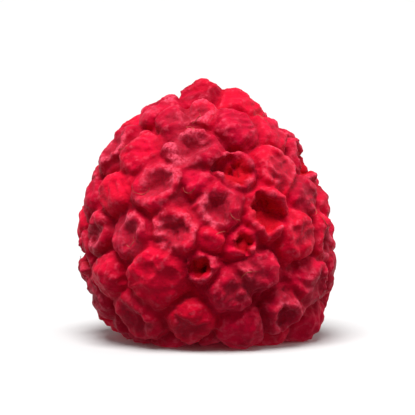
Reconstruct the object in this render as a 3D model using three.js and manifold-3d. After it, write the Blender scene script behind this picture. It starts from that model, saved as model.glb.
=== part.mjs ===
// A single freeze-dried raspberry, standing on its open end with the tip up.
// Millimetres, +Z up. The origin is on the surface that the berry stands on, under its middle,
// and the berry's front faces -Y.
import * as THREE from "three";
import { mergeVertices } from "three/addons/utils/BufferGeometryUtils.js";
import Module from "manifold-3d";

// The seat is the smooth surface that the drupelets' middles lie on.
const SEAT_RADIUS = 8.25;
const WAIST_HEIGHT = 6.5;
const SEAT_TOP = 18;
const DOME_ROUND_ACROSS = 1.2;
const DOME_ROUND_UP = 0.92;
const FOOT_RADIUS = 5.7;
const FOOT_HEIGHT = 1.55;
const LIP_CURL = 25;
const LEAN = -0.8;

// Drupelets: the small round cells that make up the berry.
const SPACING = 3.2;
const DRUPELET_RISE = 2.05;
const RISE_FOLLOWS_WIDTH = 0.3;
const DRUPELET_SPREAD = 0.68;
const DRUPELET_SIDES = 8;
const DIMPLED_RINGS = [20, 39, 58, 85];
const PLUMP_RINGS = [28, 56, 85];
const BOWL_EDGE = 0.62;
const GOLDEN_TURN = 137.508;

// A burst drupelet is an open pit.
const PIT_SIDES = 10;
const PIT_WIDTH = 0.44;
const PIT_DEPTH = 1.75;
const PIT_LEVEL = 0.78;

// The flesh behind the drupelets, and the hollow where the berry sat on its stalk.
const FLESH_PAST_SEAT = 0.35;
const FLESH_SIDES = 20;
const FLESH_EVERY = 16;
const MOUTH_RADIUS = 3.3;
const MOUTH_FLARE = 0.5;
const MOUTH_LENGTH = 1.2;
const HOLLOW_RADIUS = 3.5;
const HOLLOW_DEPTH = 13.2;
const HOLLOW_DOME_FROM = 0.45;
const CUT_PAST = 1;
const CUT_UNDER = 40;

// The cells that stand out at the front, as seen from there: how far across and up their middle
// is, how wide they are, how deep their dimple is as a share of their height, and whether burst,
// with a pit that may be narrower than the others'. The one at the tip is taller than the rest.
const FRONT_CELLS = [
  { across: -0.9, up: 20.3, width: 2.6, dimple: 0, tall: 1.2 },
  { across: -1.0, up: 18.4, width: 2.8, dimple: 0.45 },
  { across: -3.1, up: 18.0, width: 3.0, dimple: 0.3 },
  { across: 2.1, up: 17.6, width: 3.2, dimple: 0.2 },
  { across: 4.9, up: 16.9, width: 3.0, dimple: 0.3 },
  { across: -1.8, up: 15.9, width: 3.7, dimple: 0.75 },
  { across: -6.2, up: 15.5, width: 3.6, dimple: 0 },
  { across: 2.0, up: 14.2, width: 3.0, burst: true },
  { across: 5.6, up: 14.1, width: 3.3, dimple: 0.35 },
  { across: -1.4, up: 13.4, width: 2.6, dimple: 0 },
  { across: -4.4, up: 13.0, width: 3.8, dimple: 0.7 },
  { across: -8.0, up: 12.4, width: 3.3, dimple: 0 },
  { across: 0.5, up: 11.4, width: 3.5, dimple: 0.75 },
  { across: 4.6, up: 10.9, width: 3.4, burst: true },
  { across: 7.8, up: 11.8, width: 3.0, dimple: 0.3 },
  { across: -3.1, up: 9.5, width: 3.4, dimple: 0.65 },
  { across: -6.8, up: 8.8, width: 3.4, dimple: 0.55 },
  { across: -0.1, up: 9.1, width: 2.2, dimple: 0 },
  { across: 2.6, up: 8.6, width: 2.4, burst: true, pit: 0.34 },
  { across: 7.4, up: 8.8, width: 3.2, dimple: 0.3 },
  { across: -0.9, up: 6.7, width: 2.4, burst: true, pit: 0.36 },
  { across: -4.8, up: 6.0, width: 4.2, dimple: 0.1 },
  { across: 3.7, up: 6.1, width: 2.9, dimple: 0.3 },
  { across: 1.5, up: 4.5, width: 2.9, dimple: 0.4 },
];
const FRONT_KEEPS_OFF = 0.72;
const SEEN_EDGE = 0.98;

// Shares of the other drupelets that are burst and dimpled, and how much they differ. None is
// burst this near the middle of the tip.
const BURST_SHARE = 0.1;
const BURST_OFF_AXIS = 2.6;
const DIMPLED_SHARE = 0.55;
const DEEPEST_DIMPLE = 0.75;
const SHALLOWEST = 0.4;
const WIDTH_VARIES = 0.26;
const OVAL_VARIES = 0.1;
const TRAITS = { width: 1, dimple: 2, kind: 3, turn: 4, oval: 5 };

// Evening out: each drupelet is pushed off those that crowd it.
const HEXAGON_AREA = 0.866;
const RELAX_ROUNDS = 30;
const RELAX_STEP = 0.25;
const NEAR_AXIS = 0.5;
const LEAST_DISTANCE = 0.01;

const DEGREE = Math.PI / 180;
const SEAT_STEPS = 240;
const MERGE_WITHIN = 1e-3;
const UP = new THREE.Vector3(0, 1, 0);

// The same number from 0 to 1 each time, for one drupelet and one of its traits.
function chance(index, trait) {
  const x = Math.sin(index * 12.9898 + trait * 78.233) * 43758.5453;
  return x - Math.floor(x);
}

function clamp(value, least, most) {
  return Math.min(Math.max(value, least), most);
}

// The seat's outline from the lip of the mouth, round the foot and the waist, to the tip:
// points with their outward direction and the area of the seat up to them.
function seatOutline() {
  const lip = 90 + LIP_CURL;
  const at = (k) => {
    const angle = (-lip + ((90 + lip) * k) / SEAT_STEPS) * DEGREE;
    if (angle < 0)
      return {
        r: FOOT_RADIUS + (SEAT_RADIUS - FOOT_RADIUS) * Math.cos(angle),
        z: WAIST_HEIGHT + (WAIST_HEIGHT - FOOT_HEIGHT) * Math.sin(angle),
      };
    const across = Math.max(Math.cos(angle), 0);
    return {
      r: SEAT_RADIUS * across ** DOME_ROUND_ACROSS,
      z: WAIST_HEIGHT + (SEAT_TOP - WAIST_HEIGHT) * Math.sin(angle) ** DOME_ROUND_UP,
    };
  };
  const rows = Array.from({ length: SEAT_STEPS + 1 }, (_, k) => at(k));
  rows.forEach((row, k) => {
    const before = rows[Math.max(k - 1, 0)];
    const after = rows[Math.min(k + 1, SEAT_STEPS)];
    const length = Math.hypot(after.r - before.r, after.z - before.z);
    row.outR = (after.z - before.z) / length;
    row.outZ = (before.r - after.r) / length;
    row.along = k ? before.along + Math.hypot(row.r - before.r, row.z - before.z) : 0;
    row.area = k ? before.area + Math.PI * (row.r + before.r) * (row.along - before.along) : 0;
  });
  return rows;
}

// The seat at a distance along its outline.
function seatAt(rows, along) {
  const found = rows.findIndex((row) => row.along >= along);
  const k = found < 0 ? SEAT_STEPS : Math.max(found, 1);
  const share = (along - rows[k - 1].along) / (rows[k].along - rows[k - 1].along);
  const mix = (name) => rows[k - 1][name] + (rows[k][name] - rows[k - 1][name]) * share;
  return { r: mix("r"), z: mix("z"), outR: mix("outR"), outZ: mix("outZ") };
}

// How far the berry leans to one side at a height.
function leanAt(height) {
  return LEAN * height / SEAT_TOP;
}

// A front cell's place on the seat, from where it is seen.
function placeSeen(rows, cell) {
  const upper = rows.filter((row) => row.z > FOOT_HEIGHT && row.outR > 0);
  const miss = (row) => Math.abs(row.z + row.outZ * DRUPELET_RISE - cell.up);
  const row = upper.reduce((best, other) => (miss(other) < miss(best) ? other : best));
  const reach = row.r + row.outR * DRUPELET_RISE;
  const sine = clamp((cell.across - leanAt(cell.up)) / reach, -SEEN_EDGE, SEEN_EDGE);
  return { along: row.along, turn: Math.asin(sine), fixed: true, ...cell };
}

// From one cell to another at a radius: how far along the outline, and how far round.
function gap(to, from, radius) {
  const turned = Math.atan2(Math.sin(to.turn - from.turn), Math.cos(to.turn - from.turn));
  return [to.along - from.along, turned * radius];
}

// Every drupelet: the front cells, and a golden spiral over the rest of the seat.
function spiralCells(rows) {
  const cells = FRONT_CELLS.map((cell) => placeSeen(rows, cell));
  const whole = rows[SEAT_STEPS].area;
  const count = Math.round(whole / (HEXAGON_AREA * SPACING ** 2));
  for (let i = 0; i < count; i++) {
    const row = rows.find((other) => other.area >= ((i + 0.5) / count) * whole);
    const kind = chance(i, TRAITS.kind);
    const depth = SHALLOWEST + (1 - SHALLOWEST) * chance(i, TRAITS.dimple);
    const cell = {
      along: row.along,
      turn: i * GOLDEN_TURN * DEGREE,
      width: SPACING * (1 + WIDTH_VARIES * (chance(i, TRAITS.width) - 0.5)),
      dimple: kind < DIMPLED_SHARE ? DEEPEST_DIMPLE * depth : 0,
      burst: kind > 1 - BURST_SHARE && row.r > BURST_OFF_AXIS,
    };
    const crowded = cells.some((other) => {
      const room = (FRONT_KEEPS_OFF * (cell.width + other.width)) / 2;
      const radius = Math.max(row.r, NEAR_AXIS);
      return other.fixed && Math.hypot(...gap(cell, other, radius)) < room;
    });
    if (!crowded) cells.push(cell);
  }
  return cells;
}

// Pushes each cell that isn't fixed off its neighbours, a little in each round.
function evenOut(rows, cells) {
  const radius = (cell) => Math.max(seatAt(rows, cell.along).r, NEAR_AXIS);
  for (let round = 0; round < RELAX_ROUNDS; round++)
    cells.forEach((cell) => {
      if (cell.fixed) return;
      const own = radius(cell);
      const push = [0, 0];
      cells.forEach((other) => {
        if (other === cell) return;
        const [rise, side] = gap(cell, other, (own + radius(other)) / 2);
        const distance = Math.max(Math.hypot(rise, side), LEAST_DISTANCE);
        const lack = (cell.width + other.width) / 2 - distance;
        if (lack <= 0) return;
        push[0] += (lack * rise) / distance;
        push[1] += (lack * side) / distance;
      });
      cell.along = clamp(cell.along + RELAX_STEP * push[0], 0, rows[SEAT_STEPS].along);
      cell.turn += (RELAX_STEP * push[1]) / own;
    });
}

const wasm = await Module();
wasm.setup();

function solidOf(geometry) {
  const bare = geometry.clone();
  bare.deleteAttribute("normal");
  bare.deleteAttribute("uv");
  const merged = mergeVertices(bare, MERGE_WITHIN);
  return new wasm.Manifold(
    new wasm.Mesh({
      numProp: 3,
      vertProperties: new Float32Array(merged.attributes.position.array),
      triVerts: new Uint32Array(merged.index.array),
    }),
  );
}

function geometryOf(solid) {
  const mesh = solid.getMesh();
  const made = new THREE.BufferGeometry();
  made.setAttribute("position", new THREE.BufferAttribute(mesh.vertProperties, 3));
  made.setIndex(new THREE.BufferAttribute(mesh.triVerts, 1));
  const flat = made.toNonIndexed();
  flat.computeVertexNormals();
  return flat;
}

// Sets a geometry whose outer end is along +Y on the seat, where the cell is.
function setOnSeat(geometry, rows, cell, lift) {
  const seat = seatAt(rows, cell.along);
  const side = new THREE.Vector2(Math.sin(cell.turn), -Math.cos(cell.turn));
  const out = new THREE.Vector3(side.x * seat.outR, side.y * seat.outR, seat.outZ);
  const place = new THREE.Vector3(side.x * seat.r, side.y * seat.r, seat.z);
  place.addScaledVector(out, lift);
  place.x += leanAt(place.z);
  geometry.applyQuaternion(new THREE.Quaternion().setFromUnitVectors(UP, out.normalize()));
  return geometry.translate(place.x, place.y, place.z);
}

// One drupelet: a rounded cell, oval, with a bowl where its top has dried in.
function drupelet(rows, cell, index) {
  const reach = DRUPELET_SPREAD * cell.width;
  const tall = cell.tall ?? 1;
  const rise = DRUPELET_RISE * tall * (1 + RISE_FOLLOWS_WIDTH * (cell.width / SPACING - 1));
  const dimple = cell.dimple ?? 0;
  const edgeDrop = 1 - Math.sqrt(1 - BOWL_EDGE ** 2);
  const ring = (angle) => {
    const across = Math.sin(angle * DEGREE);
    const dome = Math.cos(angle * DEGREE);
    const bowl = 1 - dimple + (dimple - edgeDrop) * (across / BOWL_EDGE) ** 2;
    return new THREE.Vector2(reach * across, rise * (angle < 90 ? Math.min(dome, bowl) : dome));
  };
  const rings = dimple ? DIMPLED_RINGS : PLUMP_RINGS;
  const outline = [180, ...rings.toReversed(), 0].map(ring);
  outline[0].x = 0;
  const geometry = new THREE.LatheGeometry(outline, DRUPELET_SIDES);
  const oval = 1 + 2 * OVAL_VARIES * (chance(index, TRAITS.oval) - 0.5);
  geometry.scale(oval, 1, 1 / oval);
  geometry.rotateY(chance(index, TRAITS.turn) * Math.PI);
  return solidOf(setOnSeat(geometry, rows, cell, 0));
}

// The pit of a burst drupelet, to be cut.
function pit(rows, cell, index) {
  const geometry = new THREE.SphereGeometry(1, PIT_SIDES, PIT_SIDES / 2);
  const width = (cell.pit ?? PIT_WIDTH) * cell.width;
  geometry.scale(width, PIT_DEPTH, width);
  geometry.rotateY(chance(index, TRAITS.turn) * Math.PI);
  return solidOf(setOnSeat(geometry, rows, cell, DRUPELET_RISE * PIT_LEVEL));
}

// The flesh that the drupelets stand out of.
function flesh(rows) {
  const outline = rows
    .filter((row, k) => k % FLESH_EVERY === 0 && k < SEAT_STEPS)
    .map((row) => new THREE.Vector2(row.r + row.outR * FLESH_PAST_SEAT, row.z + row.outZ * FLESH_PAST_SEAT));
  const foot = new THREE.Vector2(0, outline[0].y);
  const top = new THREE.Vector2(0, SEAT_TOP + FLESH_PAST_SEAT);
  const geometry = new THREE.LatheGeometry([foot, ...outline, top], FLESH_SIDES);
  return solidOf(geometry.rotateX(Math.PI / 2));
}

// The hollow, to be cut: flared at the mouth, a little wider inside, round at its end.
function hollow() {
  const mouth = [
    new THREE.Vector2(0, -CUT_PAST),
    new THREE.Vector2(MOUTH_RADIUS + MOUTH_FLARE, -CUT_PAST),
    new THREE.Vector2(MOUTH_RADIUS, MOUTH_LENGTH),
  ];
  const wide = HOLLOW_DEPTH * HOLLOW_DOME_FROM;
  const dome = [0, 15, 30, 45, 60, 75].map(
    (angle) =>
      new THREE.Vector2(
        HOLLOW_RADIUS * Math.cos(angle * DEGREE),
        wide + (HOLLOW_DEPTH - wide) * Math.sin(angle * DEGREE),
      ),
  );
  const end = new THREE.Vector2(0, HOLLOW_DEPTH);
  const geometry = new THREE.LatheGeometry([...mouth, ...dome, end], FLESH_SIDES);
  return solidOf(geometry.rotateX(Math.PI / 2));
}

// What is under the surface that the berry stands on, to be cut.
function underSurface() {
  const box = new THREE.BoxGeometry(CUT_UNDER, CUT_UNDER, CUT_UNDER);
  return solidOf(box.translate(0, 0, -CUT_UNDER / 2));
}

const rows = seatOutline();
const cells = spiralCells(rows);
evenOut(rows, cells);
let berry = flesh(rows);
cells.forEach((cell, index) => {
  berry = berry.add(drupelet(rows, cell, index));
});
cells.forEach((cell, index) => {
  if (cell.burst) berry = berry.subtract(pit(rows, cell, index));
});
berry = berry.subtract(hollow()).subtract(underSurface());
// Fusing can seal a bubble between drupelets, or cut a scrap loose: only the berry itself stays.
const bodies = solidOf(geometryOf(berry)).decompose();
berry = bodies.reduce((most, body) => (body.volume() > most.volume() ? body : most));

const raspberry = new THREE.Mesh(
  geometryOf(berry),
  new THREE.MeshStandardMaterial({ color: 0xb8102e, roughness: 0.8, metalness: 0 }),
);
raspberry.name = "raspberry";

const fruit = new THREE.Group();
fruit.add(raspberry);

export default fruit;
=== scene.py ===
"""A freeze-dried raspberry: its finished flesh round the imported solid, and a plain studio for it."""

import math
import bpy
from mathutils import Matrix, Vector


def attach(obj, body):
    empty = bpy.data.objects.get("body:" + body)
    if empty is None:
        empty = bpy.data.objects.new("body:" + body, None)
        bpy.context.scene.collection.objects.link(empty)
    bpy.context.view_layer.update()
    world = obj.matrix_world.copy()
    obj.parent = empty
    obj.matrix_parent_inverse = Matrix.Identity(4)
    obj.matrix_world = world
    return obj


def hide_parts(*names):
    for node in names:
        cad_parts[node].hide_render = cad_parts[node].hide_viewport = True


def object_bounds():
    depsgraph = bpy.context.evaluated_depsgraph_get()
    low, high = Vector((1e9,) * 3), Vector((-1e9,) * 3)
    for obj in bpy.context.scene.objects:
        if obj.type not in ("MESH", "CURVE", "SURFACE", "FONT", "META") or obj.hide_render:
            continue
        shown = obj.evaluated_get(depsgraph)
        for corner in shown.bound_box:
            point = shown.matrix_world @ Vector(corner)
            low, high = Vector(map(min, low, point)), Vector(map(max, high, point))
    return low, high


bl_info = {
    "name": "Freeze-Dried Raspberry",
    "version": (1, 0, 0),
    "blender": (4, 5, 0),
    "location": "View3D > Sidebar > Raspberry",
    "description": "Models the dried flesh of a raspberry, drupelet by drupelet, and its studio",
    "category": "Add Mesh",
}

from dataclasses import dataclass

import bmesh
import bpy
import numpy as np
from bpy.props import FloatProperty, FloatVectorProperty, PointerProperty
from mathutils import Matrix, Vector, noise
from mathutils.bvhtree import BVHTree

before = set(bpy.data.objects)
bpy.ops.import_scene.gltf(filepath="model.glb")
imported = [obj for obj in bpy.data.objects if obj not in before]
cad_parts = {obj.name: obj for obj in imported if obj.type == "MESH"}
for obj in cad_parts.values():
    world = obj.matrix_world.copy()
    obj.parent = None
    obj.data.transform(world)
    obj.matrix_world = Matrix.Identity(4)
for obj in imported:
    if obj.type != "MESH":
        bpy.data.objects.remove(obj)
cad_low, cad_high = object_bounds()
NODE = "raspberry"
MM = 0.001
DEGREE = math.pi / 180

# Sizes are in millimetres and angles in degrees, unless a comment or a name says otherwise. The
# seat is the smooth surface that the drupelets' middles lie on.
SEAT_RADIUS = 8.25
WAIST_HEIGHT = 6.5
SEAT_TOP = 18
DOME_ROUND_ACROSS = 1.2
DOME_ROUND_UP = 0.92
FOOT_RADIUS = 5.7
FOOT_HEIGHT = 1.55
LIP_CURL = 25
LEAN = -0.8
SEAT_STEPS = 240

# Drupelets: the small round cells that make up the berry.
SPACING = 3.2
DRUPELET_RISE = 2.05
RISE_FOLLOWS_WIDTH = 0.3
DRUPELET_SPREAD = 0.68
GOLDEN_TURN = 137.508

# A burst drupelet is an open pit. Its half width is a share of the drupelet's width, and its middle
# lies at a share of the usual rise.
PIT_WIDTH = 0.44
PIT_DEPTH = 1.75
PIT_LEVEL = 0.78

# The flesh behind the drupelets, and the hollow where the berry sat on its stalk.
FLESH_PAST_SEAT = 0.35
FLESH_EVERY = 8
MOUTH_RADIUS = 3.3
MOUTH_FLARE = 0.5
MOUTH_LENGTH = 1.2
HOLLOW_RADIUS = 3.5
HOLLOW_DEPTH = 13.2
HOLLOW_DOME_FROM = 0.45
HOLLOW_DEGREES = 6
CUT_PAST = 1

# The cells that stand out at the front, as seen from there: how far across and up their middle
# is, how wide they are, how deep their dimple is as a share of their height, and whether burst,
# with a pit that may be narrower than the others'. The one at the tip is taller than the rest,
# and some have kept their bright red.
FRONT_CELLS = [
    {"across": -0.9, "up": 20.3, "width": 2.6, "dimple": 0, "tall": 1.2},
    {"across": -1.0, "up": 18.4, "width": 2.8, "dimple": 0.45},
    {"across": -3.1, "up": 18.0, "width": 3.0, "dimple": 0.3},
    {"across": 2.1, "up": 17.6, "width": 3.2, "dimple": 0.2},
    {"across": 4.9, "up": 16.9, "width": 3.0, "dimple": 0.3},
    {"across": -1.8, "up": 15.9, "width": 3.7, "dimple": 0.75},
    {"across": -6.2, "up": 15.5, "width": 3.6, "dimple": 0, "tone": 0.8},
    {"across": 2.0, "up": 14.2, "width": 3.0, "burst": True},
    {"across": 5.6, "up": 14.1, "width": 3.3, "dimple": 0.35, "tone": 1},
    {"across": -1.4, "up": 13.4, "width": 2.6, "dimple": 0},
    {"across": -4.4, "up": 13.0, "width": 3.8, "dimple": 0.7},
    {"across": -8.0, "up": 12.4, "width": 3.3, "dimple": 0, "tone": 1},
    {"across": 0.5, "up": 11.4, "width": 3.5, "dimple": 0.75},
    {"across": 4.6, "up": 10.9, "width": 3.4, "burst": True},
    {"across": 7.8, "up": 11.8, "width": 3.0, "dimple": 0.3},
    {"across": -3.1, "up": 9.5, "width": 3.4, "dimple": 0.65},
    {"across": -6.8, "up": 8.8, "width": 3.4, "dimple": 0.55},
    {"across": -0.1, "up": 9.1, "width": 2.2, "dimple": 0},
    {"across": 2.6, "up": 8.6, "width": 2.4, "burst": True, "pit": 0.34},
    {"across": 7.4, "up": 8.8, "width": 3.2, "dimple": 0.3},
    {"across": -0.9, "up": 6.7, "width": 2.4, "burst": True, "pit": 0.36},
    {"across": -4.8, "up": 6.0, "width": 4.2, "dimple": 0.1},
    {"across": 3.7, "up": 6.1, "width": 2.9, "dimple": 0.3},
    {"across": 1.5, "up": 4.5, "width": 2.9, "dimple": 0.4},
]
FRONT_KEEPS_OFF = 0.72
SEEN_EDGE = 0.98

# Shares of the other drupelets that are burst and dimpled, and how much they differ. None nearer
# the berry's axis than BURST_OFF_AXIS is burst.
BURST_SHARE = 0.1
BURST_OFF_AXIS = 2.6
DIMPLED_SHARE = 0.55
DEEPEST_DIMPLE = 0.75
SHALLOWEST = 0.4
WIDTH_VARIES = 0.26
OVAL_VARIES = 0.1

# The traits that chance settles for each drupelet, its facets and its thread.
TRAITS = {
    "width": 1, "dimple": 2, "kind": 3, "turn": 4, "oval": 5, "tone": 6,
    "down": 7, "round": 8, "far": 9, "deep": 10, "bowl": 11,
    "kept": 12, "way": 13, "long": 14, "bent": 15,
}
CHANCE_BY_INDEX = 12.9898
CHANCE_BY_TRAIT = 78.233
CHANCE_SPREAD = 43758.5453

# Evening out: each drupelet is pushed off those that crowd it.
HEXAGON_AREA = 0.866
RELAX_ROUNDS = 30
RELAX_STEP = 0.25
NEAR_AXIS = 0.5
LEAST_DISTANCE = 0.01

# How finely the flesh is modelled.
UNION_VOXEL = 0.14
FLESH_VOXEL = 0.168
DRUPELET_SEGMENTS = 48
DRUPELET_RINGS = 32
FLESH_SEGMENTS = 96
PIT_SUBDIVISIONS = 4

# The facets that each drupelet has dried in with: how many, how far from its middle, how far they
# reach, and the least share of that reach and how much more.
DENTS = 5
DENT_LEAST_DOWN = 15
DENT_MORE_DOWN = 60
DENT_REACH = 38
DENT_LEAST_WIDE = 0.7
DENT_MORE_WIDE = 0.6

# The bowl of a sunken drupelet: how far out its edge is, as a share of the drupelet's size, and how
# steeply it falls to its middle.
BOWL_EDGE = 0.62
BOWL_VARIES = 0.24
BOWL_FUNNEL = 1.3

# The level at which the top of a burst drupelet is torn off, and how far the torn edge reaches from
# the skin and from the pit's wall, all as shares of their sizes.
TORN_LEVEL = 0.74
TORN_OFF_SKIN = 0.16
TORN_OFF_WALL = 0.2

# Each drupelet's and each pit's step to a place of its own in the noise, and how fine the wavers of
# its outline, its bowl's edge and floor, its torn top and its pit are.
DRUPELET_NOISE_STEP = (3.7, 1.9, 0)
PIT_NOISE_STEP = (5.3, 0, 2.3)
OUTLINE_FINE = 1.6
BOWL_EDGE_FINE = 1.2
BOWL_FLOOR_FINE = 3.1
TORN_FINE = 1.7
PIT_FINE = 1.2
RAGGED_COARSE = 1.8
RAGGED_FINE = 3.5

# The wrinkles of the skin: the seed that the folds wander by, and how many of each kind there are
# in a millimetre.
FOLD_SEED = 4
FOLDS = 0.9
FOLDS_WANDER = 0.5
CRUMPLES = 2.1
GRIT = 4.7

# The creases between drupelets: how wide they are and how far inside the skin they start, as shares
# of a drupelet's size, how they come and go, and how much less there is of them at dimples.
CREASE_WIDTH = 0.3
CREASE_INSIDE = (-0.4, -0.15)
CREASE_PATCH = 2.2
CREASE_COMES_AND_GOES = (0.25, 1.3)
CREASE_LESS_AT_DIMPLE = 0.2

# Where the wall of the hollow ends, past its radius and its depth.
HOLLOW_WALL_FADES = (0.7, 0.2)
HOLLOW_END_FADES = (0.6, 0.2)

# The marks on the skin. The lip round a dimple is palest at this angle from the drupelet's axis, in
# degrees: pale powder with a painted highlight on the rim. Dust lies in patches on the ridges, and what
# faces up is painted paler still, a painted highlight of the light from above. The marks of the tears,
# pits, dimples and creases begin and are full at these shares of a drupelet's or a pit's size; the
# dimples' marks paint shade into their bowls and the creases' marks paint shade between the drupelets.
LIP_ANGLE = 41
LIP_WIDTH = 11
LIP_GAIN = 0.8
LIP_AT_DIMPLES = (0.2, 0.8)
DUST_PATCH = 1.3
FACING_DOWN_LEAST = 0.2
HIGHLIGHT_FACES_UP = (-0.3, 0.6)
RIDGE_GAIN = 1.8
RIDGE_ROUNDS = 4
CROWN_GAIN = 4
CROWN_ROUNDS = 8
TORN_MARK = 0.1
TORN_PATCH = 0.9
TORN_PALE_LEAST = 0.3
PIT_MARK_WALL = (0.12, 0)
PIT_MARK_INSIDE = (0, -0.3)
DIMPLE_SHADE_INSIDE = (-0.02, -0.2)
DIMPLE_SHADE_DEPTH = (0, 0.5)
CREASE_SHADE_MARK = (0.32, 0)
PATCH_EDGE = 0.45

# The sizes of the patterns in the materials, in metres, and how strongly the marks colour the flesh.
PATCHES_SIZE = 0.0026
GRAIN_SIZE = 0.00022
SPECKS_SIZE = 0.0005
CRUMPLE_SIZE = 0.0009
STYLE_PATCHES_SIZE = 0.0007
FRESH_STRENGTH = 0.55
FADED_STRENGTH = 0.5
CREASE_SHADE_STRENGTH = 0.45
POWDER_AND_HIGHLIGHT_STRENGTH = 0.85
BLOOM_AND_HIGHLIGHT_STRENGTH = 0.3
HOLLOW_STRENGTH = 0.8

# The dried styles: the threads that some drupelets still have.
STYLE_POINTS = 14
STYLE_LEAST_LONG = 0.6
STYLE_BEND = 1.3
STYLE_ROOT_SUNK = 0.05
STYLE_TIP_RAISED = 0.22
STYLE_TAPER = 0.6
STYLE_ABOVE = 5
STYLE_WAVER = 0.5
STYLE_WAVER_FINE = 0.9

# Closer points than these are one point: in millimetres, and in metres on the threads. Points this
# near the ground, in metres, are on it.
SAME_POINT = 1e-5
SAME_THREAD_POINT = 1e-6
ON_GROUND = 1e-7

# The studio, in metres: half the floor's side, where the lights are, how large the side ones are and
# how far the camera sees. Its view starts at the last one, a share of its distance.
FLOOR_HALF = 3
OVERHEAD_PLACE = (-0.025, -0.12, 0.4)
SIDE_PLACE = (0.33, 0.06, 0.16)
SIDE_LIGHT_SIZE = 0.2
CLIP_END = 20
CLIP_FROM = 0.1


@dataclass
class Cell:
    """One drupelet: where it is on the seat, its size and what has become of it."""

    along: float
    turn: float
    width: float
    dimple: float = 0.0
    burst: bool = False
    pit: float = PIT_WIDTH
    tall: float = 1.0
    tone: float | None = None
    fixed: bool = False

    def settle(self, seat):
        """Works out the place, the way out, the height and the reach from where the cell is."""
        r, z, out_r, out_z = seat.at(self.along)
        self.radius = max(r, NEAR_AXIS)
        side = (math.sin(self.turn), -math.cos(self.turn))
        self.out = Vector((side[0] * out_r, side[1] * out_r, out_z)).normalized()
        self.place = Vector((side[0] * r, side[1] * r, z))
        self.rise = DRUPELET_RISE * self.tall * (1 + RISE_FOLLOWS_WIDTH * (self.width / SPACING - 1))
        self.reach = DRUPELET_SPREAD * self.width


class Seat:
    """The seat's outline from the lip of the mouth, round the foot and the waist, to the tip."""

    def __init__(self):
        lip = 90 + LIP_CURL
        angles = [(-lip + (90 + lip) * k / SEAT_STEPS) * DEGREE for k in range(SEAT_STEPS + 1)]
        self.r, self.z = np.array([self.outline(angle) for angle in angles]).T
        after = np.minimum(np.arange(SEAT_STEPS + 1) + 1, SEAT_STEPS)
        before = np.maximum(np.arange(SEAT_STEPS + 1) - 1, 0)
        step_r = self.r[after] - self.r[before]
        step_z = self.z[after] - self.z[before]
        length = np.hypot(step_r, step_z)
        self.out_r = step_z / length
        self.out_z = -step_r / length
        steps = np.hypot(np.diff(self.r), np.diff(self.z))
        self.along = np.concatenate([[0], np.cumsum(steps)])
        bands = math.pi * (self.r[1:] + self.r[:-1]) * steps
        self.area = np.concatenate([[0], np.cumsum(bands)])

    @staticmethod
    def outline(angle):
        if angle < 0:
            r = FOOT_RADIUS + (SEAT_RADIUS - FOOT_RADIUS) * math.cos(angle)
            return r, WAIST_HEIGHT + (WAIST_HEIGHT - FOOT_HEIGHT) * math.sin(angle)
        r = SEAT_RADIUS * max(math.cos(angle), 0) ** DOME_ROUND_ACROSS
        return r, WAIST_HEIGHT + (SEAT_TOP - WAIST_HEIGHT) * math.sin(angle) ** DOME_ROUND_UP

    def at(self, along):
        """Radius, height and outward direction at a distance along the outline."""
        return [float(np.interp(along, self.along, v)) for v in (self.r, self.z, self.out_r, self.out_z)]


def chance(index, trait):
    """The same number from 0 to 1 each time, for one drupelet and one of its traits."""
    x = math.sin(index * CHANCE_BY_INDEX + TRAITS[trait] * CHANCE_BY_TRAIT) * CHANCE_SPREAD
    return x - math.floor(x)


def clamp(value, least, most):
    return min(max(value, least), most)


def lean_at(height):
    """How far the berry leans to one side at a height."""
    return LEAN * height / SEAT_TOP


def place_seen(seat, seen):
    """A front cell on the seat, from where it is seen."""
    upper = [k for k in range(SEAT_STEPS + 1) if seat.z[k] > FOOT_HEIGHT and seat.out_r[k] > 0]
    row = min(upper, key=lambda k: abs(seat.z[k] + seat.out_z[k] * DRUPELET_RISE - seen["up"]))
    reach = seat.r[row] + seat.out_r[row] * DRUPELET_RISE
    sine = clamp((seen["across"] - lean_at(seen["up"])) / reach, -SEEN_EDGE, SEEN_EDGE)
    traits = {name: value for name, value in seen.items() if name not in ("across", "up")}
    return Cell(float(seat.along[row]), math.asin(sine), fixed=True, **traits)


def gap(to, other, radius):
    """From one cell to another at a radius: how far along the outline, and how far round."""
    turn = to.turn - other.turn
    return to.along - other.along, math.atan2(math.sin(turn), math.cos(turn)) * radius


def spiral_cells(seat):
    """Every drupelet: the front cells, and a golden spiral over the rest of the seat."""
    cells = [place_seen(seat, seen) for seen in FRONT_CELLS]
    whole = seat.area[-1]
    count = round(whole / (HEXAGON_AREA * SPACING**2))
    for i in range(count):
        row = int(np.argmax(seat.area >= (i + 0.5) / count * whole))
        kind = chance(i, "kind")
        depth = SHALLOWEST + (1 - SHALLOWEST) * chance(i, "dimple")
        cell = Cell(
            along=float(seat.along[row]),
            turn=i * GOLDEN_TURN * DEGREE,
            width=SPACING * (1 + WIDTH_VARIES * (chance(i, "width") - 0.5)),
            dimple=DEEPEST_DIMPLE * depth if kind < DIMPLED_SHARE else 0,
            burst=kind > 1 - BURST_SHARE and seat.r[row] > BURST_OFF_AXIS,
        )
        radius = max(seat.r[row], NEAR_AXIS)
        crowded = any(
            other.fixed
            and math.hypot(*gap(cell, other, radius)) < FRONT_KEEPS_OFF * (cell.width + other.width) / 2
            for other in cells
        )
        if not crowded:
            cells.append(cell)
    return cells


def even_out(seat, cells):
    """Pushes each cell that isn't fixed off its neighbours, a little in each round."""
    for cell in cells:
        cell.settle(seat)
    for _ in range(RELAX_ROUNDS):
        for cell in cells:
            if cell.fixed:
                continue
            push_along = push_round = 0.0
            for other in cells:
                if other is cell:
                    continue
                rise, side = gap(cell, other, (cell.radius + other.radius) / 2)
                distance = max(math.hypot(rise, side), LEAST_DISTANCE)
                lack = (cell.width + other.width) / 2 - distance
                if lack > 0:
                    push_along += lack * rise / distance
                    push_round += lack * side / distance
            cell.along = clamp(cell.along + RELAX_STEP * push_along, 0, float(seat.along[-1]))
            cell.turn += RELAX_STEP * push_round / cell.radius
            cell.settle(seat)


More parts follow.
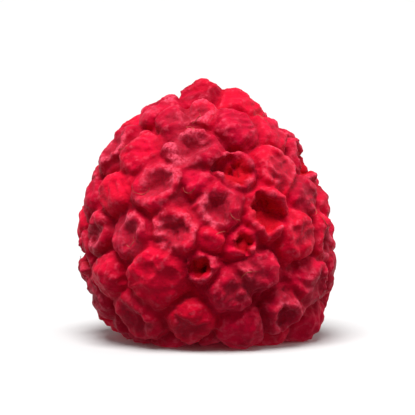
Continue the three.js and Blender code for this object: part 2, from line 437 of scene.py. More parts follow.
def laid_out():
    """The seat and its drupelets, evened out."""
    seat = Seat()
    cells = spiral_cells(seat)
    even_out(seat, cells)
    return seat, cells


def own_noise(index, steps):
    """A drupelet's own place in the noise, so that no two waver alike."""
    return Vector([index * step for step in steps])


def on_seat(cell, index, lift):
    """The matrix that takes a shape whose outer end is along +Y to the cell's place on the seat."""
    place = cell.place + cell.out * lift
    place.x += lean_at(place.z)
    turn = Matrix.Rotation(chance(index, "turn") * math.pi, 4, "Y")
    out = Vector((0, 1, 0)).rotation_difference(cell.out).to_matrix().to_4x4()
    return Matrix.Translation(place) @ out @ turn @ Matrix.Rotation(-math.pi / 2, 4, "X")


def append_to(bm, one):
    """Adds a small bmesh to a large one, and frees it."""
    mesh = bpy.data.meshes.new("one")
    one.to_mesh(mesh)
    one.free()
    bm.from_mesh(mesh)
    bpy.data.meshes.remove(mesh)


def bowl_edge(index):
    """How far from a sunken drupelet's middle the edge of its bowl is, as a share of its size."""
    return BOWL_EDGE * (1 + BOWL_VARIES * (chance(index, "bowl") - 0.5))


def dents_of(index, look):
    """The facets that a drupelet has dried in with: the direction, reach and depth of each."""
    dents = []
    for k in range(DENTS):
        down = math.radians(DENT_LEAST_DOWN + DENT_MORE_DOWN * chance(index * DENTS + k, "down"))
        turn = 2 * math.pi * (k + chance(index * DENTS + k, "round")) / DENTS
        way = Vector((math.sin(down) * math.cos(turn), math.sin(down) * math.sin(turn), math.cos(down)))
        reach = DENT_REACH * (DENT_LEAST_WIDE + DENT_MORE_WIDE * chance(index * DENTS + k, "far"))
        dents.append((way, reach * DEGREE, look.dent_depth * chance(index * DENTS + k, "deep")))
    return dents


def add_drupelet(bm, cell, index, look):
    """One drupelet: a rounded cell with dried-in facets, which only the tall one at the tip lacks,
    and, where its top has sunk, a bowl."""
    one = bmesh.new()
    bmesh.ops.create_uvsphere(
        one, u_segments=DRUPELET_SEGMENTS, v_segments=DRUPELET_RINGS, radius=1
    )
    oval = 1 + 2 * OVAL_VARIES * (chance(index, "oval") - 0.5)
    far = own_noise(index, DRUPELET_NOISE_STEP)
    middle = Vector((noise.noise(far), noise.noise(far * 2), 0)) * look.dimple_off_middle
    dents = dents_of(index, look) if cell.tall == 1 else []
    edge = bowl_edge(index)
    sunk = cell.dimple
    for vert in one.verts:
        way = vert.co.copy()
        size = 1 + look.outline_uneven * noise.noise(way * OUTLINE_FINE + far)
        for dent, reach, depth in dents:
            size -= depth * max(1 - (way.angle(dent) / reach) ** 2, 0)
        height = way.z * size
        if sunk and way.z > 0:
            away = Vector((way.x, way.y, 0)) - middle
            waver = look.dimple_uneven * noise.noise(away.normalized() * BOWL_EDGE_FINE + far)
            reached = edge * (1 + waver)
            rise = math.sqrt(max(1 - reached**2, 0)) - 1 + sunk
            bowl = 1 - sunk + rise * (away.length / reached) ** BOWL_FUNNEL
            bowl += look.dimple_crumple * noise.noise(way * BOWL_FLOOR_FINE - far)
            height = min(height, bowl)
        if cell.burst and way.z > 0:
            torn = TORN_LEVEL + look.torn_uneven * noise.noise(way * TORN_FINE + far)
            height = min(height, torn)
        vert.co = Vector(
            (way.x * cell.reach * size * oval, way.y * cell.reach * size / oval, height * cell.rise)
        )
    bmesh.ops.transform(one, matrix=on_seat(cell, index, 0), verts=one.verts)
    append_to(bm, one)


def add_pit(bm, cell, index, look):
    """The ragged pit of a burst drupelet, to be cut."""
    one = bmesh.new()
    bmesh.ops.create_icosphere(one, subdivisions=PIT_SUBDIVISIONS, radius=1)
    far = own_noise(index, PIT_NOISE_STEP)
    width = cell.pit * cell.width
    for vert in one.verts:
        at = vert.co * width + far
        ragged = 1 + look.pit_uneven * noise.noise(vert.co * PIT_FINE + far)
        ragged += look.pit_ragged * (noise.noise(at * RAGGED_COARSE) + noise.noise(at * RAGGED_FINE) / 2)
        vert.co = Vector((vert.co.x * width, vert.co.y * width, vert.co.z * PIT_DEPTH)) * ragged
    bmesh.ops.transform(one, matrix=on_seat(cell, index, DRUPELET_RISE * PIT_LEVEL), verts=one.verts)
    append_to(bm, one)


def add_turned(bm, outline):
    """A closed solid turned round Z from an outline of (radius, height) that starts and ends on it."""
    verts = [bm.verts.new((r, 0, z)) for r, z in outline]
    edges = [bm.edges.new(pair) for pair in zip(verts, verts[1:])]
    bmesh.ops.spin(
        bm,
        geom=verts + edges,
        axis=(0, 0, 1),
        cent=(0, 0, 0),
        angle=2 * math.pi,
        steps=FLESH_SEGMENTS,
        use_merge=True,
    )
    bmesh.ops.remove_doubles(bm, verts=bm.verts, dist=SAME_POINT)
    bmesh.ops.recalc_face_normals(bm, faces=bm.faces)


def flesh_outline(seat):
    """The flesh behind the drupelets."""
    points = [(0, seat.z[0] + seat.out_z[0] * FLESH_PAST_SEAT)]
    for k in range(0, SEAT_STEPS, FLESH_EVERY):
        r = seat.r[k] + seat.out_r[k] * FLESH_PAST_SEAT
        points.append((r, seat.z[k] + seat.out_z[k] * FLESH_PAST_SEAT))
    points.append((0, SEAT_TOP + FLESH_PAST_SEAT))
    return points


def hollow_outline():
    """The hollow: flared at the mouth, a little wider inside, round at its end."""
    wide = HOLLOW_DEPTH * HOLLOW_DOME_FROM
    points = [(0, -CUT_PAST), (MOUTH_RADIUS + MOUTH_FLARE, -CUT_PAST), (MOUTH_RADIUS, MOUTH_LENGTH)]
    for angle in range(0, 90, HOLLOW_DEGREES):
        r = HOLLOW_RADIUS * math.cos(angle * DEGREE)
        points.append((r, wide + (HOLLOW_DEPTH - wide) * math.sin(angle * DEGREE)))
    points.append((0, HOLLOW_DEPTH))
    return points


def linked(name, data):
    """A new object of the scene."""
    made = bpy.data.objects.new(name, data)
    bpy.context.scene.collection.objects.link(made)
    return made


def object_of(bm, name):
    """A bmesh in millimetres as an object in metres."""
    bmesh.ops.scale(bm, vec=(MM, MM, MM), verts=bm.verts)
    mesh = bpy.data.meshes.new(name)
    bm.to_mesh(mesh)
    bm.free()
    return linked(name, mesh)


def voxel_remesh(piece, voxel):
    """Has the piece made anew from voxels of that many millimetres, as one closed surface."""
    remesh = piece.modifiers.new("remesh", "REMESH")
    remesh.mode = "VOXEL"
    remesh.voxel_size = voxel * MM


def apply_modifiers(piece):
    """Gives the piece the mesh that its modifiers make, and removes them."""
    graph = bpy.context.evaluated_depsgraph_get()
    shaped = bpy.data.meshes.new_from_object(piece.evaluated_get(graph))
    old = piece.data
    piece.modifiers.clear()
    piece.data = shaped
    shaped.name = piece.name
    bpy.data.meshes.remove(old)


def fused_flesh(seat, cells, look):
    """The drupelets and the flesh behind them as one surface, with the pits and the hollow cut."""
    bm = bmesh.new()
    add_turned(bm, flesh_outline(seat))
    for index, cell in enumerate(cells):
        add_drupelet(bm, cell, index, look)
    flesh = object_of(bm, "raspberry_flesh")
    voxel_remesh(flesh, UNION_VOXEL)

    bm = bmesh.new()
    add_turned(bm, hollow_outline())
    for index, cell in enumerate(cells):
        if cell.burst:
            add_pit(bm, cell, index, look)
    cutter = object_of(bm, "cutter")
    voxel_remesh(cutter, UNION_VOXEL)
    apply_modifiers(cutter)

    cut = flesh.modifiers.new("cut", "BOOLEAN")
    cut.operation = "DIFFERENCE"
    cut.solver = "MANIFOLD"
    cut.object = cutter
    voxel_remesh(flesh, FLESH_VOXEL)
    apply_modifiers(flesh)
    bpy.data.objects.remove(cutter)
    return flesh


def nearest_cells(points, cells):
    """For each point, in millimetres: the cell whose form it is on, how far outside that form it
    is, how much nearer that is than the next cell, its angle from the cell's axis in degrees, and
    how far it is to the side of the cell's middle and out from it."""
    places = np.array([cell.place + Vector((lean_at(cell.place.z), 0, 0)) for cell in cells])
    outs = np.array([cell.out for cell in cells])
    reach = np.array([cell.reach for cell in cells])
    rise = np.array([cell.rise for cell in cells])
    level = np.empty((len(points), len(cells)))
    up = np.empty_like(level)
    side = np.empty_like(level)
    for k in range(len(cells)):
        away = points - places[k]
        up[:, k] = away @ outs[k]
        side[:, k] = np.sqrt(np.maximum((away**2).sum(1) - up[:, k] ** 2, 0))
        level[:, k] = np.hypot(side[:, k] / reach[k], up[:, k] / rise[k]) - 1
    order = np.argpartition(level, 1, axis=1)[:, :2]
    rows = np.arange(len(points))
    two = level[rows[:, None], order]
    first = order[rows, np.argmin(two, axis=1)]
    inside = two.min(1)
    ahead = two.max(1) - inside
    own_side = side[rows, first]
    own_up = up[rows, first]
    angle = np.degrees(np.arctan2(own_side / reach[first], own_up / rise[first]))
    return first, inside, ahead, angle, own_side, own_up


def smooth_step(value, low, high):
    t = np.clip((value - low) / (high - low), 0, 1)
    return t * t * (3 - 2 * t)


def hill(value, width):
    """1 where the value is 0, falling off smoothly on both sides over the width."""
    return np.exp(-((value / width) ** 2))


def spread_along_edges(values, ends, rounds):
    """Averages a value with its neighbours' along the edges, some rounds over."""
    count = len(values)
    degree = np.bincount(ends.ravel(), minlength=count).clip(1)
    for _ in range(rounds):
        total = np.bincount(ends[:, 0], weights=values[ends[:, 1]], minlength=count)
        total += np.bincount(ends[:, 1], weights=values[ends[:, 0]], minlength=count)
        values = (values + total / degree) / 2
    return values


def mesh_arrays(mesh):
    """The points in millimetres, the normals and the edges' ends of a mesh."""
    points = np.empty(len(mesh.vertices) * 3, dtype=np.float32)
    mesh.vertices.foreach_get("co", points)
    normals = np.empty(len(mesh.vertices) * 3, dtype=np.float32)
    mesh.vertices.foreach_get("normal", normals)
    ends = np.empty(len(mesh.edges) * 2, dtype=np.int32)
    mesh.edges.foreach_get("vertices", ends)
    points = points.reshape(-1, 3).astype(float) / MM
    return points, normals.reshape(-1, 3).astype(float), ends.reshape(-1, 2)


def patches_of(points, size, least, most):
    """A number for each point that wanders from least to most over patches of that size."""
    levels = np.array([noise.noise(Vector(point) / size) for point in points])
    return least + (most - least) * smooth_step(levels, -PATCH_EDGE, PATCH_EDGE)


def wrinkles(points, look):
    """How far each point is drawn in or out where the flesh has shrivelled."""
    noise.seed_set(FOLD_SEED)
    moves = np.empty(len(points))
    for k, point in enumerate(points):
        p = Vector(point)
        fold = 1 - 2 * abs(noise.noise(p * FOLDS + noise.noise_vector(p * FOLDS_WANDER)))
        crumple = noise.noise(p * CRUMPLES)
        grit = noise.noise(p * GRIT)
        moves[k] = fold * look.fold_depth + crumple * look.crumple_depth + grit * look.grit_depth
    return moves / MM


def pit_level(cells, first, side, up):
    """How far each point is from the wall of its own cell's pit, as a share of the pit's size."""
    width = np.array([cell.pit * cell.width for cell in cells])[first]
    return np.hypot(side / width, (up - DRUPELET_RISE * PIT_LEVEL) / PIT_DEPTH) - 1


def shape_flesh(flesh, cells, look):
    """Smooths the fused surface, lifts the torn rims round the pits and wrinkles the skin."""
    bm = bmesh.new()
    bm.from_mesh(flesh.data)
    bmesh.ops.smooth_vert(
        bm, verts=bm.verts, factor=0.5, use_axis_x=True, use_axis_y=True, use_axis_z=True
    )
    bm.to_mesh(flesh.data)
    bm.free()
    points, normals, _ = mesh_arrays(flesh.data)
    first, level, ahead, _, side, up = nearest_cells(points, cells)
    burst = np.array([cell.burst for cell in cells])[first]
    torn = hill(level, TORN_OFF_SKIN) * hill(pit_level(cells, first, side, up), TORN_OFF_WALL) * burst
    outs = np.array([cell.out for cell in cells])[first]
    crease = smooth_step(ahead, CREASE_WIDTH, 0) * smooth_step(level, *CREASE_INSIDE)
    crease *= 1 - hollow_share(points)
    dimple = np.array([cell.dimple for cell in cells])[first] / DEEPEST_DIMPLE
    comes_and_goes = patches_of(points, CREASE_PATCH, *CREASE_COMES_AND_GOES)
    crease *= comes_and_goes * (1 - CREASE_LESS_AT_DIMPLE * dimple)
    outward = wrinkles(points, look) - crease * look.crease_depth / MM
    moved = points + normals * outward[:, None]
    moved += outs * (torn * look.torn_height / MM)[:, None]
    flesh.data.vertices.foreach_set("co", (moved * MM).astype(np.float32).ravel())
    flesh.data.update()


def stand_flat(flesh):
    """Cuts the flesh off level with the surface that it stands on, and closes the feet."""
    bm = bmesh.new()
    bm.from_mesh(flesh.data)
    cut = bmesh.ops.bisect_plane(
        bm,
        geom=bm.verts[:] + bm.edges[:] + bm.faces[:],
        dist=ON_GROUND,
        plane_co=(0, 0, 0),
        plane_no=(0, 0, 1),
        clear_inner=True,
    )
    edges = [item for item in cut["geom_cut"] if isinstance(item, bmesh.types.BMEdge)]
    bmesh.ops.holes_fill(bm, edges=edges, sides=0)
    bmesh.ops.triangulate(bm, faces=[face for face in bm.faces if len(face.verts) > 4])
    bmesh.ops.recalc_face_normals(bm, faces=bm.faces)
    for face in bm.faces:
        face.smooth = True
    bm.to_mesh(flesh.data)
    bm.free()


def hollow_share(points):
    """1 on the wall of the hollow, 0 outside."""
    across = np.hypot(points[:, 0], points[:, 1])
    wall = smooth_step(across, *[HOLLOW_RADIUS + past for past in HOLLOW_WALL_FADES])
    return wall * smooth_step(points[:, 2], *[HOLLOW_DEPTH + past for past in HOLLOW_END_FADES])


def tone_of(cell, index):
    """How fresh a drupelet's red is, from 0 to 1."""
    return chance(index, "tone") if cell.tone is None else cell.tone


def bend_of(points, normals, ends):
    """How much the skin bulges at each point: above 0 on ridges, below it in folds."""
    off = np.zeros_like(points)
    for axis in range(3):
        off[:, axis] = spread_along_edges(points[:, axis], ends, 1) - points[:, axis]
    return -(off * normals).sum(1) / (FLESH_VOXEL / 4)


def paint_flesh(flesh, cells):
    """Writes what each point of the skin is like, for the material to read."""
    mesh = flesh.data
    points, normals, ends = mesh_arrays(mesh)
    first, level, ahead, angle, side, up = nearest_cells(points, cells)
    burst = np.array([cell.burst for cell in cells])[first]
    dimple = np.array([cell.dimple for cell in cells])[first] / DEEPEST_DIMPLE
    tone = np.array([tone_of(cell, k) for k, cell in enumerate(cells)])[first]
    hollow = hollow_share(points)
    skin = 1 - hollow
    wall = pit_level(cells, first, side, up)
    bend = bend_of(points, normals, ends)
    # What faces up is painted paler: a painted highlight of the light from above on the ridges.
    facing_up_highlight = FACING_DOWN_LEAST + (1 - FACING_DOWN_LEAST) * smooth_step(normals[:, 2], *HIGHLIGHT_FACES_UP)
    lip = hill(angle - LIP_ANGLE, LIP_WIDTH) * smooth_step(dimple, *LIP_AT_DIMPLES) * ~burst * skin
    # Ridges and the lips of the dimples get pale powder and a painted highlight.
    ridge_dust_and_highlight = RIDGE_GAIN * spread_along_edges(bend, ends, RIDGE_ROUNDS) + LIP_GAIN * lip
    rim = hill(level, TORN_MARK) * hill(wall, TORN_MARK) * burst * skin
    # The dimples' sunken bowls are painted darker and duller: the dried skin's browner colour and
    # painted shade.
    sunk = smooth_step(level, *DIMPLE_SHADE_INSIDE) * smooth_step(dimple, *DIMPLE_SHADE_DEPTH)
    marks = {
        "tone": tone,
        "rim": rim * patches_of(points, TORN_PATCH, TORN_PALE_LEAST, 1),
        "pit": smooth_step(wall, *PIT_MARK_WALL) * smooth_step(level, *PIT_MARK_INSIDE) * burst * skin,
        "dimple": sunk * ~burst * skin,
        # Painted shade in the seams between the drupelets.
        "crease": smooth_step(ahead, *CREASE_SHADE_MARK) * skin,
        "ridge_dust_and_highlight": np.clip(ridge_dust_and_highlight, 0, 1) * patches_of(points, DUST_PATCH, 0, 1) * facing_up_highlight,
        # Crowns, where the skin bulges most, get a pale bloom: partly powder, partly a painted
        # highlight.
        "crown": 0.5 + CROWN_GAIN * spread_along_edges(bend, ends, CROWN_ROUNDS),
        "hollow": hollow,
    }
    for name, values in marks.items():
        written = mesh.attributes.new(name, "FLOAT", "POINT")
        written.data.foreach_set("value", np.clip(values, 0, 1).astype(np.float32))


def style_path(cell, index, skin, look):
    """How a drupelet's thread lies: from near its middle, along the skin, its end a little up."""
    at = cell.place + cell.out * cell.rise
    at.x += lean_at(at.z)
    way = cell.out.orthogonal()
    way.rotate(Matrix.Rotation(2 * math.pi * chance(index, "way"), 3, cell.out))
    long = look.style_length / MM * (STYLE_LEAST_LONG + (1 - STYLE_LEAST_LONG) * chance(index, "long"))
    bend = STYLE_BEND * (2 * chance(index, "bent") - 1)
    step = long / (STYLE_POINTS - 1)
    path = []
    for k in range(STYLE_POINTS):
        along = k / (STYLE_POINTS - 1)
        on_skin, normal, _, _ = skin.find_nearest(at * MM)
        lift = -STYLE_ROOT_SUNK + (STYLE_ROOT_SUNK + STYLE_TIP_RAISED) * along**2
        path.append(on_skin + normal * lift * MM)
        way = (way - normal * way.dot(normal)).normalized()
        waver = STYLE_WAVER * noise.noise(at * STYLE_WAVER_FINE)
        way.rotate(Matrix.Rotation(bend * step + waver, 3, normal))
        at = on_skin / MM + way * step
    return path


def add_styles(flesh, cells, look):
    """The thin dried threads, as one piece of closed tubes."""
    skin = BVHTree.FromObject(flesh, bpy.context.evaluated_depsgraph_get())
    threads = bpy.data.curves.new("threads", "CURVE")
    threads.dimensions = "3D"
    threads.bevel_depth = look.style_width / 2
    threads.bevel_resolution = 1
    threads.use_fill_caps = True
    for index, cell in enumerate(cells):
        if cell.burst or chance(index, "kept") > look.style_share or cell.place.z < STYLE_ABOVE:
            continue
        path = style_path(cell, index, skin, look)
        thread = threads.splines.new("POLY")
        thread.points.add(STYLE_POINTS - 1)
        for k, (point, place) in enumerate(zip(thread.points, path)):
            point.co = (*place, 1)
            point.radius = 1 - STYLE_TAPER * k / (STYLE_POINTS - 1)
    held = linked("threads", threads)
    mesh = bpy.data.meshes.new_from_object(held.evaluated_get(bpy.context.evaluated_depsgraph_get()))
    mesh.name = "dried_styles"
    bpy.data.objects.remove(held)
    bpy.data.curves.remove(threads)
    bm = bmesh.new()
    bm.from_mesh(mesh)
    bmesh.ops.remove_doubles(bm, verts=bm.verts, dist=SAME_THREAD_POINT)
    bmesh.ops.recalc_face_normals(bm, faces=bm.faces)
    bm.to_mesh(mesh)
    bm.free()
    return linked("dried_styles", mesh)


class Nodes:
    """Adds shader nodes to a tree and links them, so that a material reads as a recipe."""

    def __init__(self, tree):
        self.tree = tree
        tree.nodes.clear()

    def add(self, kind, links=None, values=None, **settings):
        node = self.tree.nodes.new(kind)
        for name, value in settings.items():
            setattr(node, name, value)
        for name, value in (values or {}).items():
            node.inputs[name].default_value = value
        for name, source in (links or {}).items():
            self.tree.links.new(source, node.inputs[name])
        return node

    def mark(self, name):
        """The value of one of the piece's attributes."""
        return self.add("ShaderNodeAttribute", attribute_name=name).outputs["Fac"]

    def noise(self, size, detail=2.0, rough=0.5, distortion=0.0):
        """Noise from 0 to 1 whose patches are about that many metres across."""
        where = self.add("ShaderNodeTexCoord").outputs["Object"]
        values = {"Scale": 1 / size, "Detail": detail, "Roughness": rough, "Distortion": distortion}
        return self.add("ShaderNodeTexNoise", {"Vector": where}, values).outputs["Fac"]

    def product(self, a, b):
        """Two sockets or numbers multiplied, and kept from 0 to 1."""
        node = self.add("ShaderNodeMath", operation="MULTIPLY", use_clamp=True)
        for socket, value in zip(node.inputs, (a, b)):
            if isinstance(value, (int, float)):
                socket.default_value = value
            else:
                self.tree.links.new(value, socket)
        return node.outputs[0]

    def spread(self, value, low, high, to_low=0.0, to_high=1.0):
        """A value from low to high, stretched smoothly over another range."""
        values = {"From Min": low, "From Max": high, "To Min": to_low, "To Max": to_high}
        node = self.add("ShaderNodeMapRange", {"Value": value}, values, interpolation_type="SMOOTHSTEP")
        return node.outputs["Result"]

    def blend(self, share, below, above):
        """One colour over another by a share."""
        node = self.add("ShaderNodeMix", data_type="RGBA")
        for socket, value in ((node.inputs[0], share), (node.inputs[6], below), (node.inputs[7], above)):
            if isinstance(value, bpy.types.NodeSocket):
                self.tree.links.new(value, socket)
            elif isinstance(value, (int, float)):
                socket.default_value = value
            else:
                socket.default_value = (*value, 1)
        return node.outputs[2]


def flesh_material(colours):
    """Dried flesh: crimson, paler and powdery on its ridges and torn rims, dark in its pits.
    Ridges and crowns also carry painted highlights, and creases and dimples painted shade.
    """
    material = bpy.data.materials.new("freeze_dried_flesh")
    material.use_nodes = True
    nodes = Nodes(material.node_tree)
    patches = nodes.spread(nodes.noise(PATCHES_SIZE, 3, 0.6, 0.4), 0.38, 0.62)
    grain = nodes.noise(GRAIN_SIZE, 3, 0.65)
    specks = nodes.spread(nodes.noise(SPECKS_SIZE, 2, 0.6), 0.5, 0.7)

    colour = nodes.blend(patches, colours.deep, colours.bright)
    fresh = nodes.spread(nodes.mark("tone"), 0.55, 1, 0, FRESH_STRENGTH)
    colour = nodes.blend(fresh, colour, colours.fresh)
    faded = nodes.spread(nodes.mark("tone"), 0.4, 0, 0, FADED_STRENGTH)
    colour = nodes.blend(faded, colour, colours.deep)
    # Painted shade in the creases between the drupelets.
    colour = nodes.blend(nodes.product(nodes.mark("crease"), CREASE_SHADE_STRENGTH), colour, colours.shade)
    # Painted shade in the dimples' bowls, together with the dried skin's browner colour.
    dried = nodes.product(nodes.mark("dimple"), nodes.spread(grain, 0.2, 0.8, 0.35, 0.95))
    colour = nodes.blend(dried, colour, colours.dimple)
    # Pale powder on the ridges, with a painted highlight where they face up.
    powder_and_highlight = nodes.product(nodes.spread(nodes.mark("ridge_dust_and_highlight"), 0, 0.8), nodes.spread(grain, 0.3, 0.7))
    colour = nodes.blend(nodes.product(powder_and_highlight, POWDER_AND_HIGHLIGHT_STRENGTH), colour, colours.powder_and_highlight)
    # Pale bloom on the crowns: powder and a painted highlight.
    bloom_and_highlight = nodes.product(nodes.spread(nodes.mark("crown"), 0.5, 0.9), specks)
    colour = nodes.blend(nodes.product(bloom_and_highlight, BLOOM_AND_HIGHLIGHT_STRENGTH), colour, colours.powder_and_highlight)
    colour = nodes.blend(nodes.mark("pit"), colour, colours.pit)
    torn = nodes.product(nodes.mark("rim"), nodes.spread(specks, 0, 1, 0.45, 0.95))
    colour = nodes.blend(torn, colour, colours.powder_and_highlight)
    colour = nodes.blend(nodes.product(nodes.mark("hollow"), HOLLOW_STRENGTH), colour, colours.hollow)

    crumple = nodes.noise(CRUMPLE_SIZE, 4, 0.6, 0.6)
    relief = nodes.add("ShaderNodeBump", {"Height": crumple}, {"Strength": 0.4, "Distance": 0.0002})
    fine = nodes.add(
        "ShaderNodeBump",
        {"Height": grain, "Normal": relief.outputs[0]},
        {"Strength": 0.8, "Distance": 0.0001},
    )
    shader = nodes.add(
        "ShaderNodeBsdfPrincipled",
        {
            "Base Color": colour,
            "Roughness": nodes.spread(grain, 0.2, 0.8, 0.45, 0.7),
            "Normal": fine.outputs[0],
        },
        {
            "Subsurface Weight": 0.15,
            "Subsurface Radius": (1.0, 0.2, 0.15),
            "Subsurface Scale": 0.0005,
            "Specular IOR Level": 0.12,
            "Specular Tint": (1.0, 0.3, 0.4, 1),
            "Sheen Weight": 0.08,
            "Sheen Roughness": 0.5,
            "Sheen Tint": (1.0, 0.3, 0.42, 1),
        },
    )
    nodes.add("ShaderNodeOutputMaterial", {"Surface": shader.outputs[0]})
    return material


def style_material(colours):
    """Dried threads: brownish pink, darker in places."""
    material = bpy.data.materials.new("dried_thread")
    material.use_nodes = True
    nodes = Nodes(material.node_tree)
    patches = nodes.spread(nodes.noise(STYLE_PATCHES_SIZE), 0.35, 0.65)
    colour = nodes.blend(patches, colours.style_dark, colours.style)
    shader = nodes.add(
        "ShaderNodeBsdfPrincipled",
        {"Base Color": colour},
        {"Roughness": 0.6, "Specular IOR Level": 0.1, "Specular Tint": (1.0, 0.5, 0.45, 1)},
    )
    nodes.add("ShaderNodeOutputMaterial", {"Surface": shader.outputs[0]})
    return material


def floor_material(colour):
    """A plain matt floor."""
    material = bpy.data.materials.new("matt_floor")
    material.use_nodes = True
    nodes = Nodes(material.node_tree)
    shader = nodes.add("ShaderNodeBsdfPrincipled", values={"Base Color": (*colour, 1), "Roughness": 0.7})
    nodes.add("ShaderNodeOutputMaterial", {"Surface": shader.outputs[0]})
    return material


def studio_world(strength):
    """Even white light from all round, and a white background."""
    world = bpy.data.worlds.new("studio")
    world.use_nodes = True
    bpy.context.scene.world = world
    nodes = Nodes(world.node_tree)
    seen = nodes.add("ShaderNodeLightPath").outputs["Is Camera Ray"]
    light = nodes.add("ShaderNodeBackground", values={"Color": (1, 1, 1, 1), "Strength": strength})
    backdrop = nodes.add("ShaderNodeBackground", values={"Color": (1, 1, 1, 1), "Strength": 1})
    both = nodes.add("ShaderNodeMixShader", {0: seen, 1: light.outputs[0], 2: backdrop.outputs[0]})
    nodes.add("ShaderNodeOutputWorld", {"Surface": both.outputs[0]})


def add_lamp(name, kind, place, **settings):
    """A light that faces the berry and isn't seen itself."""
    lamp = bpy.data.lights.new(name, kind)
    for setting, value in settings.items():
        setattr(lamp, setting, value)
    held = linked(name, lamp)
    held.location = place
    middle = (cad_low + cad_high) / 2
    held.rotation_euler = (middle - Vector(place)).to_track_quat("-Z", "Y").to_euler()
    held.visible_camera = False


def add_camera(studio):
    """A long lens at the berry's front, a little above the floor."""
    lens = bpy.data.cameras.new("camera")
    lens.lens = studio.lens
    camera = linked("camera", lens)
    bpy.context.scene.camera = camera
    middle = (cad_low + cad_high) / 2
    field = (cad_high.x - cad_low.x) / studio.fill
    distance = field * studio.lens / lens.sensor_width
    back = Vector((0, -math.cos(studio.elevation), math.sin(studio.elevation)))
    camera.location = middle + back * distance
    camera.rotation_euler = (-back).to_track_quat("-Z", "Y").to_euler()
    lens.clip_start = distance * CLIP_FROM
    lens.clip_end = CLIP_END


def length_setting(name, description, default):
    return FloatProperty(name=name, description=description, default=default, min=0, unit="LENGTH")


def share_setting(name, description, default):
    return FloatProperty(name=name, description=description, default=default, min=0, max=10)


def angle_setting(name, description, default):
    return FloatProperty(name=name, description=description, default=default, subtype="ANGLE")


def power_setting(name, description, default):
    return FloatProperty(name=name, description=description, default=default, min=0, unit="POWER")


def colour_setting(name, description, default):
    return FloatVectorProperty(
        name=name, description=description, default=default, size=3, min=0, max=1, subtype="COLOR"
    )


class RaspberryLook(bpy.types.PropertyGroup):
    """How the dried flesh is shaped."""

    dimple_off_middle: share_setting("Dimples off the middle", "How far off the middle they lie", 0.25)
    dimple_uneven: share_setting("Uneven dimples", "How much a dimple's outline wavers", 0.35)
    dimple_crumple: share_setting("Crumpled dimples", "How crumpled the floor of a dimple is", 0.05)
    crease_depth: length_setting("Creases", "Extra depth between the drupelets", 0.0003)
    outline_uneven: share_setting("Uneven outlines", "How much a drupelet's outline wavers", 0.1)
    dent_depth: share_setting("Dent depth", "Depth of the facets, as a share of a drupelet's size", 0.2)
    pit_uneven: share_setting("Uneven pits", "How much a pit's outline wavers", 0.7)
    pit_ragged: share_setting("Ragged pits", "How ragged the edge of a pit is", 0.3)
    torn_uneven: share_setting("Uneven tears", "How much the edge of a pit rises and falls", 0.5)
    torn_height: length_setting("Torn edges", "How far the skin stands up round a pit", 0.0002)
    fold_depth: length_setting("Folds", "Depth of the folds in the dried skin", 0.0002)
    crumple_depth: length_setting("Crumples", "Depth of the crumples in the dried skin", 0.00009)
    grit_depth: length_setting("Grit", "Depth of the finest roughness of the skin", 0.00003)
    style_share: share_setting("Threads kept", "Share of the drupelets that have a thread", 0.3)
    style_length: length_setting("Thread length", "Length of the longest dried threads", 0.0026)
    style_width: length_setting("Thread width", "Width of a dried thread at its root", 0.00009)


class RaspberryColours(bpy.types.PropertyGroup):
    """What the dried flesh is coloured."""

    bright: colour_setting("Bright flesh", "The lighter patches of a drupelet", (0.7, 0.001, 0.036))
    deep: colour_setting("Deep flesh", "The darker patches of a drupelet", (0.42, 0.0006, 0.02))
    fresh: colour_setting("Fresh flesh", "Drupelets that kept their bright red", (0.82, 0.001, 0.026))
    # Painted shade in the creases between the drupelets.
    shade: colour_setting("Creases", "Between the drupelets", (0.26, 0.0003, 0.008))
    # Also the colour of the painted highlights on the ridges and crowns.
    powder_and_highlight: colour_setting("Powder", "Dry powder on ridges and torn rims", (0.9, 0.1, 0.175))
    # Painted shade in the dimples' bowls as well as the skin's own browner colour.
    dimple: colour_setting("Dimples", "Brownish middle of a dried-in drupelet", (0.34, 0.012, 0.03))
    pit: colour_setting("Pits", "Inside a burst drupelet", (0.5, 0.0004, 0.01))
    hollow: colour_setting("Hollow", "Wall of the hollow", (0.5, 0.01, 0.035))
    style: colour_setting("Threads", "The dried threads", (0.58, 0.13, 0.1))
    style_dark: colour_setting("Dark threads", "The darker parts of the threads", (0.3, 0.035, 0.03))


class RaspberryStudio(bpy.types.PropertyGroup):
    """The studio round the berry."""

    lens: FloatProperty(name="Lens", description="Camera lens", default=300, min=20, unit="CAMERA")
    elevation: angle_setting("Elevation", "Camera height as an angle", 6 * DEGREE)
    fill: share_setting("Fill", "Share of the picture's width that the berry takes", 0.62)
    floor: colour_setting("Floor", "Colour of the floor", (0.66, 0.66, 0.66))
    ambient: share_setting("Ambient", "Strength of the light from all round", 0.3)
    overhead: share_setting("Overhead", "Strength of the light above", 4.4)
    softness: angle_setting("Softness", "How wide the light above is", 36 * DEGREE)
    left: power_setting("Left", "Power of the light at the left", 0.13)
    right: power_setting("Right", "Power of the light at the right", 0.34)


class RASPBERRY_OT_flesh(bpy.types.Operator):
    """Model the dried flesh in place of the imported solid"""

    bl_idname = "raspberry.flesh"
    bl_label = "Raspberry Flesh"

    def execute(self, context):
        look = context.scene.raspberry_look
        seat, cells = laid_out()
        flesh = fused_flesh(seat, cells, look)
        shape_flesh(flesh, cells, look)
        stand_flat(flesh)
        paint_flesh(flesh, cells)
        flesh.data.materials.clear()
        flesh.data.materials.append(flesh_material(context.scene.raspberry_colours))
        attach(flesh, "root")
        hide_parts(NODE)
        return {"FINISHED"}


class RASPBERRY_OT_styles(bpy.types.Operator):
    """Lay the thin dried threads that some drupelets have kept"""

    bl_idname = "raspberry.styles"
    bl_label = "Dried Styles"

    def execute(self, context):
        flesh = bpy.data.objects["raspberry_flesh"]
        _, cells = laid_out()
        styles = add_styles(flesh, cells, context.scene.raspberry_look)
        styles.data.materials.clear()
        styles.data.materials.append(style_material(context.scene.raspberry_colours))
        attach(styles, "root")
        return {"FINISHED"}


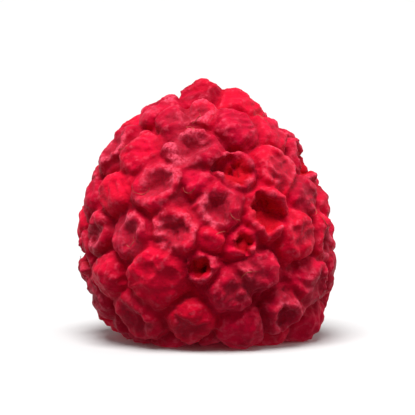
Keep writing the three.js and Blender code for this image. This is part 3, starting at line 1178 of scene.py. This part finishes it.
class RASPBERRY_OT_stage(bpy.types.Operator):
    """Set up the pale floor, the soft light and the camera"""

    bl_idname = "raspberry.stage"
    bl_label = "Raspberry Studio"

    def execute(self, context):
        studio = context.scene.raspberry_studio
        bm = bmesh.new()
        bmesh.ops.create_grid(bm, x_segments=1, y_segments=1, size=FLOOR_HALF / MM)
        floor = object_of(bm, "floor")
        floor.data.materials.append(floor_material(studio.floor))
        floor.visible_diffuse = False
        studio_world(studio.ambient)
        add_lamp("overhead", "SUN", OVERHEAD_PLACE, energy=studio.overhead, angle=studio.softness)
        out, back, up = SIDE_PLACE
        for name, side, power in (("left", -1, studio.left), ("right", 1, studio.right)):
            add_lamp(name, "AREA", (side * out, back, up), energy=power, size=SIDE_LIGHT_SIZE)
        add_camera(studio)
        context.scene.view_settings.view_transform = "Standard"
        return {"FINISHED"}


class RASPBERRY_PT_panel(bpy.types.Panel):
    """The raspberry's pieces and its studio"""

    bl_label = "Raspberry"
    bl_idname = "RASPBERRY_PT_panel"
    bl_space_type = "VIEW_3D"
    bl_region_type = "UI"
    bl_category = "Raspberry"

    def draw(self, context):
        for group in SETTINGS:
            settings = getattr(context.scene, group)
            box = self.layout.box()
            for name in type(settings).__annotations__:
                box.prop(settings, name)
        for operator in OPERATORS:
            self.layout.operator(operator.bl_idname)


SETTINGS = {
    "raspberry_look": RaspberryLook,
    "raspberry_colours": RaspberryColours,
    "raspberry_studio": RaspberryStudio,
}
OPERATORS = (RASPBERRY_OT_flesh, RASPBERRY_OT_styles, RASPBERRY_OT_stage)
CLASSES = (*SETTINGS.values(), *OPERATORS, RASPBERRY_PT_panel)


def register():
    for cls in CLASSES:
        bpy.utils.register_class(cls)
    for name, group in SETTINGS.items():
        setattr(bpy.types.Scene, name, PointerProperty(type=group))


def unregister():
    for name in SETTINGS:
        delattr(bpy.types.Scene, name)
    for cls in reversed(CLASSES):
        bpy.utils.unregister_class(cls)


def main():
    register()
    bpy.ops.raspberry.flesh()
    bpy.ops.raspberry.styles()
    bpy.ops.raspberry.stage()


if __name__ == "__main__":
    main()
